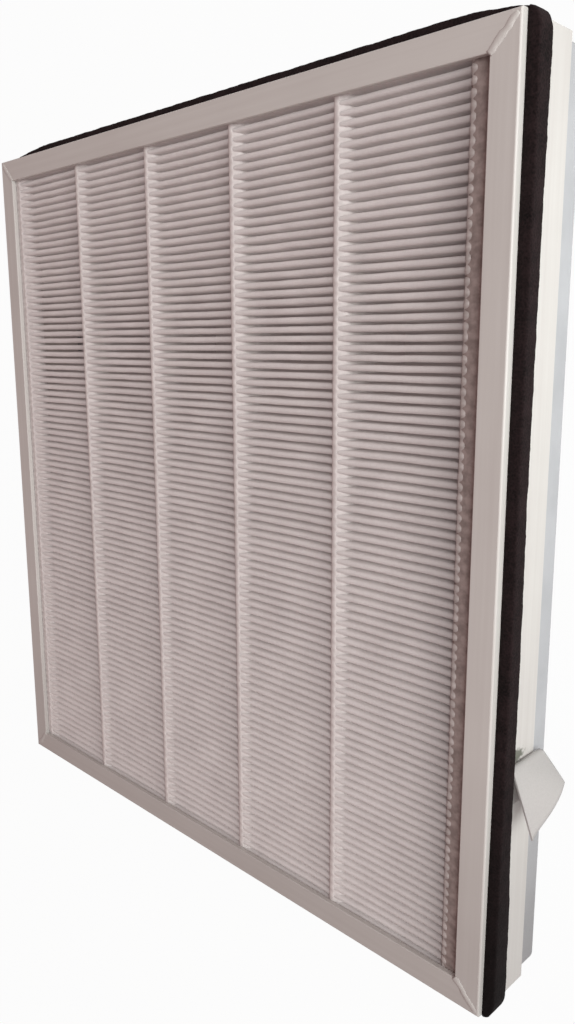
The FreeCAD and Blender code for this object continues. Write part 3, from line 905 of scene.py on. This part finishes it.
def foam_strip():
    shell = bmesh.new()
    rings = []
    for place, outward, thickness in strip_stations():
        ring = []
        low, high = foam_low.z, foam_high.z
        if outward.x > 0.5:
            low -= between(REAR_EDGE, place.y)
            high += between(FRONT_EDGE, place.y)
        for distance, height in strip_section(low, high, thickness):
            spot = place + outward * distance
            point = Vector((spot.x, spot.y, height))
            if distance > 0:
                lumps = noise.noise(point * 160) * 0.22 * MM + noise.noise(point * 700) * 0.14 * MM
                point += Vector((outward.x, outward.y, 0)) * (lumps - 0.2 * MM)
                point.z += noise.noise(point * 420 + Vector((3, 1, 7))) * 0.12 * MM
            ring.append(shell.verts.new(point))
        rings.append(ring)
    count = len(rings[0])
    for ring, following in zip(rings, rings[1:]):
        for index in range(count):
            after = (index + 1) % count
            shell.faces.new((ring[index], ring[after], following[after], following[index]))
    shell.faces.new(rings[0])
    shell.faces.new(reversed(rings[-1]))
    bmesh.ops.remove_doubles(shell, verts=shell.verts, dist=0.002 * MM)
    bmesh.ops.recalc_face_normals(shell, faces=shell.faces)
    for face in shell.faces:
        face.smooth = True
    return mesh_from(shell, "foam_strip")


foam_mesh = foam_strip()
set_finish(foam_mesh, foam_finish)
foam_piece = add_piece("foam_strip", foam_mesh)
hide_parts("foam_seal")
print("Foam strip:", count_triangles(foam_mesh), "triangles")

# %% [markdown]
# ## The ridges on the mitres
# Where two members are welded, a little molten plastic is pressed out along the mitre and sets as a low ridge.
# It starts at the inner corner, wavers, and fades before the outer corner.

# %% Mesh of one ridge
RIDGE_STEPS = 28
RIDGE_POINTS = 9
RIDGE_HALF_WIDTH = 1.6 * MM
RIDGE_SINK = 0.05 * MM


def mitre_ridge(name):
    low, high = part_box(name)
    side = Vector((math.copysign(1, low.x + high.x), math.copysign(1, low.y + high.y), 0))
    start = Vector((min(abs(low.x), abs(high.x)) * side.x, min(abs(low.y), abs(high.y)) * side.y, low.z))
    run = Vector((high.x - low.x, high.y - low.y, 0)).length
    along = side.normalized()
    across = Vector((-along.y, along.x, 0))
    shell = bmesh.new()
    rows = []
    for step in range(RIDGE_STEPS + 1):
        share = step / RIDGE_STEPS
        seed = start + along * (run * share)
        wander = noise.noise(seed * 260) * 0.55 * MM
        fade = math.sqrt(max(0.0, 1 - max(0.0, (share - 0.8) / 0.2) ** 2))
        uneven = 1 + 0.35 * noise.noise(seed * 480 + Vector((9, 0, 0)))
        width = RIDGE_HALF_WIDTH * (0.55 + 0.45 * fade) * uneven
        rise = (high.z - low.z) * (0.15 + 0.85 * fade) * (0.85 + 0.3 * noise.noise(seed * 350))
        row = []
        for point in range(RIDGE_POINTS):
            turn = math.pi * point / (RIDGE_POINTS - 1)
            spot = seed + across * (wander - width * math.cos(turn))
            spot.z = low.z - RIDGE_SINK + (rise + RIDGE_SINK) * math.sin(turn) ** 1.6
            row.append(shell.verts.new(spot))
        rows.append(row)
    for row, following in zip(rows, rows[1:]):
        for index in range(RIDGE_POINTS - 1):
            shell.faces.new((row[index], row[index + 1], following[index + 1], following[index]))
        shell.faces.new((row[0], following[0], following[-1], row[-1]))
    shell.faces.new(rows[0])
    shell.faces.new(rows[-1])
    bmesh.ops.recalc_face_normals(shell, faces=shell.faces)
    for face in shell.faces:
        face.smooth = len(face.verts) == 4
    return mesh_from(shell, name)


for end in ("bottom", "top"):
    for side in ("left", "right"):
        ridge_mesh = mitre_ridge(f"corner_weld_{end}_{side}")
        set_finish(ridge_mesh, level_plastic)
        ridge = add_piece(f"mitre_ridge_{end}_{side}", ridge_mesh)
        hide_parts(f"corner_weld_{end}_{side}")
print("Each ridge:", count_triangles(ridge_mesh), "triangles")

# %% [markdown]
# ## The pull tab
# A short ribbon is stuck to the right wall. It folds over at its top and its free end stands off the wall,
# more at the rear edge than at the front one. The ribbon is a small grid with one column for each step across
# its width. Each column is a stuck leg, a round fold and a free leg, and the columns differ a little.

# %% Mesh of the ribbon
TAPE_WIDTH = 26 * MM
TAPE_THICKNESS = 0.8 * MM
STUCK_LENGTH = 17 * MM
FRONT_LEG = 27.5 * MM
REAR_LEG = 14.5 * MM
FRONT_LEAN = math.radians(21)
REAR_LEAN = math.radians(44)
FOLD_RADIUS = 2.1 * MM
BELLY = 1.7 * MM
COLUMNS = 26
LEG_ROWS = 14
FOLD_ROWS = 10

tab_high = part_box("pull_tab")[1]
fold_height = tab_high.y - FOLD_RADIUS - TAPE_THICKNESS / 2


def tape_column(share):
    """Points of the tape's middle from its stuck end to its free end, from front edge (0) to rear edge (1)."""
    ease = share * share * (3 - 2 * share)
    lean = FRONT_LEAN + (REAR_LEAN - FRONT_LEAN) * ease
    leg = FRONT_LEG + (REAR_LEG - FRONT_LEG) * share
    middle = Vector((wall_x + FOLD_RADIUS + TAPE_THICKNESS / 2, fold_height))
    points = []
    for row in range(LEG_ROWS):
        points.append(middle + Vector((-FOLD_RADIUS, -STUCK_LENGTH * (1 - row / LEG_ROWS))))
    for row in range(FOLD_ROWS + 1):
        turn = math.pi - (math.pi - lean) * row / FOLD_ROWS
        points.append(middle + Vector((math.cos(turn), math.sin(turn))) * FOLD_RADIUS)
    away = Vector((math.cos(lean), math.sin(lean)))
    down = Vector((math.sin(lean), -math.cos(lean)))
    for row in range(1, LEG_ROWS + 1):
        reach = row / LEG_ROWS
        belly = math.sin(math.pi * reach) * math.sin(math.pi * share) * BELLY
        points.append(middle + away * (FOLD_RADIUS + belly) + down * leg * reach)
    return points


def ribbon_mesh():
    columns = [tape_column(column / COLUMNS) for column in range(COLUMNS + 1)]
    rows = len(columns[0])
    shell = bmesh.new()
    tape = shell.loops.layers.uv.new("tape")
    places = {}
    grid = []
    for column, points in enumerate(columns):
        height = tab_high.z - TAPE_WIDTH * column / COLUMNS
        length = 0.0
        line = []
        for row, point in enumerate(points):
            if row:
                length += (point - points[row - 1]).length
            vertex = shell.verts.new((point.x, point.y, height))
            places[vertex] = (TAPE_WIDTH * column / COLUMNS / MM, length / MM)
            line.append(vertex)
        grid.append(line)
    for column in range(COLUMNS):
        for row in range(rows - 1):
            here = grid[column]
            beside = grid[column + 1]
            face = shell.faces.new((here[row], here[row + 1], beside[row + 1], beside[row]))
            face.smooth = True
            for loop in face.loops:
                loop[tape].uv = places[loop.vert]
    area = sum(face.calc_area() for face in shell.faces)
    return mesh_from(shell, "ribbon"), area


def thicken(mesh, thickness):
    """The same sheet with two faces and closed edges, which are flat where the ribbon was cut."""
    holder = new_object("thin", mesh)
    add_wall(holder, thickness, even=True)
    thick = take_mesh(holder)
    for cut_edge in thick.polygons[2 * len(mesh.polygons):]:
        cut_edge.use_smooth = False
    return thick


thin_ribbon, ribbon_area = ribbon_mesh()
ribbon = thicken(thin_ribbon, TAPE_THICKNESS)
set_finish(ribbon, ribbon_finish)
tab_piece = add_piece("folded_pull_tab", ribbon)
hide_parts("pull_tab")
print("Ribbon:", count_triangles(ribbon), "triangles,", round(ribbon_area / MM**2), "square mm")

# %% [markdown]
# ## Floor, light and camera
# The floor is plain and pale. Seen by the camera it glows, so that it reads as white paper, and it still takes
# a trace of the filter's soft shadow. The photo shows two kinds of light. A tall, neutral window stands far to
# the right, which makes the right wall the brightest face. The rest is an even, reddish light from all sides,
# and the world gives it. A small lamp close to the tray adds the light that a pale surface throws back on it.

# %% Floor
FLOOR_HALF = 4.0
FLOOR_DROP = 0.1 * MM
FLOOR_GLOW = 0.96


def floor_material():
    material, tree, shader = new_material("pale_floor")
    shader.inputs["Base Color"].default_value = (0.55, 0.55, 0.55, 1)
    shader.inputs["Roughness"].default_value = 0.9
    rays = add_node(tree, "ShaderNodeLightPath")
    seen_by = Field(tree, rays.outputs["Is Camera Ray"])
    seen_by = seen_by.math("MAXIMUM", seen_by, rays.outputs["Is Glossy Ray"])
    glow = add_node(tree, "ShaderNodeEmission", {"Strength": 1.0})
    mixed = add_node(tree, "ShaderNodeMixShader")
    feed(tree, mixed.inputs[0], seen_by * FLOOR_GLOW)
    feed(tree, mixed.inputs[1], shader.outputs[0])
    feed(tree, mixed.inputs[2], glow.outputs[0])
    tree.links.new(mixed.outputs[0], tree.nodes["Material Output"].inputs["Surface"])
    return material


floor_mesh = bpy.data.meshes.new("floor")
quarters = ((-1, -1), (1, -1), (1, 1), (-1, 1))
floor_corners = [(x * FLOOR_HALF, y * FLOOR_HALF, -FLOOR_DROP) for x, y in quarters]
floor_mesh.from_pydata(floor_corners, [], [(0, 1, 2, 3)])
set_finish(floor_mesh, floor_material())
floor = new_object("floor", floor_mesh)
floor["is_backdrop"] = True
print("Floor:", 2 * FLOOR_HALF, "m wide,", FLOOR_DROP / MM, "mm below the filter")

# %% World and lamps
def set_world(strength):
    """Even light from all sides, and plain white where the camera looks past the floor."""
    world = bpy.data.worlds.new("studio")
    world.use_nodes = True
    tree = world.node_tree
    background = tree.nodes["Background"]
    background.inputs["Color"].default_value = (1.0, 0.72, 0.70, 1)
    background.inputs["Strength"].default_value = strength
    white = add_node(tree, "ShaderNodeBackground", {"Color": (1, 1, 1, 1), "Strength": 1.0})
    rays = add_node(tree, "ShaderNodeLightPath")
    mixed = add_node(tree, "ShaderNodeMixShader")
    feed(tree, mixed.inputs[0], rays.outputs["Is Camera Ray"])
    feed(tree, mixed.inputs[1], background.outputs[0])
    feed(tree, mixed.inputs[2], white.outputs[0])
    tree.links.new(mixed.outputs[0], tree.nodes["World Output"].inputs["Surface"])
    bpy.context.scene.world = world


def add_window(name, place, target, wide, high, power, colour):
    """A tall or wide area lamp that looks at a point."""
    lamp = bpy.data.lights.new(name, "AREA")
    lamp.shape = "RECTANGLE"
    lamp.size = wide
    lamp.size_y = high
    lamp.energy = power
    lamp.color = colour
    holder = new_object(name, lamp)
    holder.location = place
    holder.rotation_euler = (Vector(target) - Vector(place)).to_track_quat("-Z", "Y").to_euler()
    print(name, "of", power, "W at", place)


set_world(strength=0.375)
add_window(
    "window", place=(1.75, 0.42, 1.08), target=(0.0, 0.0, 0.02),
    wide=0.85, high=1.3, power=34.0, colour=(0.95, 0.995, 0.985),
)
add_window(
    "side_window", place=(0.45, 0.12, 0.03), target=(0.19, 0.10, 0.03),
    wide=0.12, high=0.12, power=0.40, colour=(0.95, 1.0, 0.98),
)

# %% [markdown]
# The camera stands where the photo was taken, near the right edge and close to the filter, which gives the
# strong perspective. It was fitted to the outline of the frame in a picture of 575 by 1024 pixels. The filter
# lies down here and stands up in the picture, so the camera is rolled.

# %% Camera
CAMERA_PLACE = Vector((0.35767, 0.08682, 0.33796))
CAMERA_AHEAD = Vector((-0.69205, -0.19250, -0.69575))
CAMERA_UP = Vector((-0.13295, 0.98130, -0.13925))
PICTURE_HEIGHT = 1024
FOCAL_PIXELS = 867.0
SENSOR = 36.0

camera_data = bpy.data.cameras.new("camera")
camera_data.sensor_width = SENSOR
camera_data.lens = SENSOR * FOCAL_PIXELS / PICTURE_HEIGHT
camera_data.clip_start = 0.01
camera_data.clip_end = 20.0
camera = new_object("camera", camera_data)
back = -CAMERA_AHEAD.normalized()
right = CAMERA_UP.cross(back).normalized()
turned = Matrix((right, back.cross(right), back)).transposed().to_4x4()
camera.matrix_world = Matrix.Translation(CAMERA_PLACE) @ turned
bpy.context.scene.camera = camera
print("Lens:", round(camera_data.lens, 2), "mm")

# %% Colour management and size
bpy.context.scene.view_settings.view_transform = "Standard"

low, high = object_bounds()
print("Dressed box:", [round(value, 4) for value in (*low, *high)])
